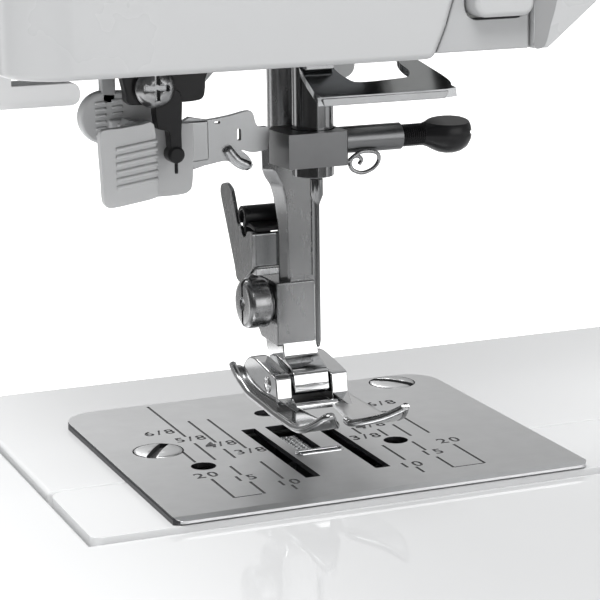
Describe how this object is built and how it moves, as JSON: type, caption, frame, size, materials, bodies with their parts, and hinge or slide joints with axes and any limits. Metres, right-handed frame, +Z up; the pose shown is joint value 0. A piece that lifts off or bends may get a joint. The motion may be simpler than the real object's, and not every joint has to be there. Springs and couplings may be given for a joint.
{
  "type": "sewing machine",
  "caption": "Free-arm household sewing machine with its needle bar, presser foot, needle threader, needle plate and drive train as separate moving pieces.",
  "frame": {"origin": "middle of the footprint, on the surface the machine stands on", "axes": "+Z up, +X along the arm towards the handwheel, -Y towards the person sewing"},
  "size_m": [0.42, 0.168, 0.295],
  "materials": {
    "shell": "glossy off-white moulded plastic, fine even texture",
    "panel": "satin pale grey moulded plastic",
    "grey_plastic": "satin mid grey moulded plastic",
    "black_plastic": "semi-gloss black moulded plastic",
    "rubber": "matte black rubber with fabric-backed belt face",
    "lens": "frosted translucent plastic",
    "plate_steel": "satin nickel-plated steel, engraved guide lines",
    "chrome": "bright chrome plate, small polishing marks",
    "steel": "machined steel, fine turning marks",
    "blackened_steel": "blackened steel",
    "cast": "die-cast aluminium, sand-textured"
  },
  "bodies": {
    "machine_body": {"frame_casting": "cast", "front_casing": "shell", "rear_casing": "shell", "face_cover": "shell", "control_panel": "panel", "top_cover": "shell", "base_housing": "shell", "base_tray": "grey_plastic", "free_arm_casing": "shell", "hook_cover": "shell", "needle_plate": "plate_steel", "plate_screw_left": "steel", "plate_screw_right": "steel", "motor": "blackened_steel", "motor_belt": "rubber", "timing_belt": "rubber", "hook_race": "steel", "bobbin_case": "chrome", "thread_guide_plate": "steel", "threader_bracket": "black_plastic", "threader_screw": "chrome", "thread_cutter": "shell", "lamp_lens": "lens", "power_socket": "black_plastic"},
    "extension_table": {"extension_table": "shell"},
    "feed_carrier": {"feed_carrier": "steel"},
    "feed_dog": {"feed_dog": "steel"},
    "main_shaft": {"main_shaft": "steel", "crank": "steel", "handwheel": "shell"},
    "connecting_rod": {"connecting_rod": "steel"},
    "clutch_knob": {"clutch_knob": "panel"},
    "motor_pulley": {"motor_pulley": "steel"},
    "lower_shaft": {"lower_shaft": "steel"},
    "hook": {"hook": "steel"},
    "bobbin": {"bobbin": "lens"},
    "needle_bar": {"needle_bar": "chrome", "needle_clamp": "chrome", "needle": "chrome", "needle_thread_guide": "chrome"},
    "clamp_screw": {"clamp_screw": "black_plastic"},
    "take_up_lever": {"take_up_lever": "chrome"},
    "presser_bar": {"presser_bar": "chrome", "ankle": "chrome"},
    "ankle_screw": {"ankle_screw": "chrome"},
    "release_lever": {"release_lever": "steel"},
    "presser_foot": {"presser_foot": "chrome"},
    "presser_lifter": {"presser_lifter": "black_plastic"},
    "threader": {"threader_slider": "grey_plastic", "threader_hook": "grey_plastic"},
    "buttonhole_lever": {"buttonhole_lever": "grey_plastic"},
    "pattern_dial": {"pattern_dial": "panel"},
    "stitch_length_dial": {"stitch_length_dial": "panel"},
    "thread_tension_dial": {"thread_tension_dial": "panel"},
    "reverse_button": {"reverse_button": "shell"},
    "pressure_dial": {"pressure_dial": "panel"},
    "spool_pin": {"spool_pin": "grey_plastic"},
    "bobbin_winder": {"bobbin_winder": "grey_plastic"},
    "carry_handle": {"carry_handle": "panel"},
    "power_switch": {"power_switch": "black_plastic"}
  },
  "joints": [
    {"name": "handwheel_turn", "type": "hinge", "parent": "machine_body", "child": "main_shaft", "pos_m": [0.165, 0.0172, 0.245], "axis": [1, 0, 0], "continuous": true},
    {"name": "motor_turn", "type": "hinge", "parent": "machine_body", "child": "motor_pulley", "pos_m": [0.141, 0.018, 0.11], "axis": [1, 0, 0], "continuous": true},
    {"name": "lower_shaft_turn", "type": "hinge", "parent": "machine_body", "child": "lower_shaft", "pos_m": [0.065, 0.032, 0.051], "axis": [1, 0, 0], "continuous": true},
    {"name": "connecting_rod_turn", "type": "hinge", "parent": "main_shaft", "child": "connecting_rod", "pos_m": [-0.1281, 0.0172, 0.2595], "axis": [1, 0, 0], "continuous": true},
    {"name": "clutch_knob_turn", "type": "hinge", "parent": "main_shaft", "child": "clutch_knob", "pos_m": [0.206, 0.0172, 0.245], "axis": [1, 0, 0], "range_deg": [0, 120]},
    {"name": "needle_bar_stroke", "type": "slide", "parent": "machine_body", "child": "needle_bar", "axis": [0, 0, 1], "range_m": [-0.029, 0]},
    {"name": "clamp_screw_turn", "type": "hinge", "parent": "needle_bar", "child": "clamp_screw", "pos_m": [-0.117, 0.0164, 0.1277], "axis": [1, 0, 0], "range_deg": [0, 720]},
    {"name": "take_up_swing", "type": "hinge", "parent": "machine_body", "child": "take_up_lever", "pos_m": [-0.1525, 0.018, 0.228], "axis": [1, 0, 0], "range_deg": [-5, 35]},
    {"name": "hook_swing", "type": "hinge", "parent": "machine_body", "child": "hook", "pos_m": [-0.135, 0.025, 0.049], "axis": [0, 1, 0], "range_deg": [-100, 100]},
    {"name": "bobbin_turn", "type": "hinge", "parent": "machine_body", "child": "bobbin", "pos_m": [-0.135, 0.018, 0.049], "axis": [0, 1, 0], "continuous": true},
    {"name": "feed_lift", "type": "slide", "parent": "machine_body", "child": "feed_carrier", "axis": [0, 0, 1], "range_m": [-0.0025, 0.0012]},
    {"name": "feed_travel", "type": "slide", "parent": "feed_carrier", "child": "feed_dog", "axis": [0, 1, 0], "range_m": [-0.0013, 0.0013]},
    {"name": "presser_lifter_turn", "type": "hinge", "parent": "machine_body", "child": "presser_lifter", "pos_m": [-0.135, 0.047, 0.1645], "axis": [1, 0, 0], "range_deg": [-30, 0]},
    {"name": "presser_bar_slide", "type": "slide", "parent": "machine_body", "child": "presser_bar", "axis": [0, 0, 1], "range_m": [-0.0057, 0]},
    {"name": "presser_foot_tilt", "type": "hinge", "parent": "presser_bar", "child": "presser_foot", "pos_m": [-0.135, 0.0225, 0.0894], "axis": [1, 0, 0], "range_deg": [-3, 8]},
    {"name": "ankle_screw_turn", "type": "hinge", "parent": "presser_bar", "child": "ankle_screw", "pos_m": [-0.14, 0.0272, 0.1015], "axis": [1, 0, 0], "range_deg": [0, 720]},
    {"name": "release_lever_press", "type": "hinge", "parent": "presser_bar", "child": "release_lever", "pos_m": [-0.137, 0.0343, 0.104], "axis": [1, 0, 0], "range_deg": [-12, 0], "stiffness_Nm_per_rad": 0.03, "springref_deg": 11.46},
    {"name": "threader_pull", "type": "slide", "parent": "machine_body", "child": "threader", "axis": [0, 0, 1], "range_m": [-0.022, 0], "stiffness_N_per_m": 30, "springref_m": 0.006},
    {"name": "buttonhole_lever_pull", "type": "slide", "parent": "machine_body", "child": "buttonhole_lever", "axis": [0, 0, 1], "range_m": [-0.03, 0]},
    {"name": "pattern_dial_turn", "type": "hinge", "parent": "machine_body", "child": "pattern_dial", "pos_m": [0.127, -0.014, 0.212], "axis": [0, 1, 0], "continuous": true},
    {"name": "stitch_length_turn", "type": "hinge", "parent": "machine_body", "child": "stitch_length_dial", "pos_m": [0.083, -0.014, 0.252], "axis": [0, 1, 0], "range_deg": [0, 300]},
    {"name": "thread_tension_turn", "type": "hinge", "parent": "machine_body", "child": "thread_tension_dial", "pos_m": [-0.039, -0.014, 0.24], "axis": [0, 1, 0], "range_deg": [-150, 150]},
    {"name": "reverse_button_press", "type": "slide", "parent": "machine_body", "child": "reverse_button", "axis": [0, 1, 0], "range_m": [0, 0.003], "stiffness_N_per_m": 150, "springref_m": -0.001},
    {"name": "pressure_dial_turn", "type": "hinge", "parent": "machine_body", "child": "pressure_dial", "pos_m": [-0.149, 0.026, 0.285], "axis": [0, 0, 1], "range_deg": [0, 270]},
    {"name": "spool_pin_lift", "type": "slide", "parent": "machine_body", "child": "spool_pin", "axis": [0, 0, 1], "range_m": [0, 0.028]},
    {"name": "bobbin_winder_turn", "type": "hinge", "parent": "machine_body", "child": "bobbin_winder", "pos_m": [0.145, 0.046, 0.287], "axis": [0, 0, 1], "continuous": true},
    {"name": "carry_handle_fold", "type": "hinge", "parent": "machine_body", "child": "carry_handle", "pos_m": [-0.005, 0.046, 0.285], "axis": [1, 0, 0], "range_deg": [-90, 0]},
    {"name": "extension_table_pull", "type": "slide", "parent": "machine_body", "child": "extension_table", "axis": [-1, 0, 0], "range_m": [0, 0.15]},
    {"name": "power_switch_rock", "type": "hinge", "parent": "machine_body", "child": "power_switch", "pos_m": [0.1736, -0.035, 0.042], "axis": [0, 1, 0], "range_deg": [-8, 8]}
  ],
  "couplings": [
    {"joint": "motor_turn", "follows": "handwheel_turn", "ratio": 2.75},
    {"joint": "lower_shaft_turn", "follows": "handwheel_turn", "ratio": 1},
    {"joint": "connecting_rod_turn", "follows": "handwheel_turn", "ratio": -1},
    {"joint": "presser_lifter_turn", "follows": "presser_bar_slide", "rad_per_m": 91.7}
  ]
}
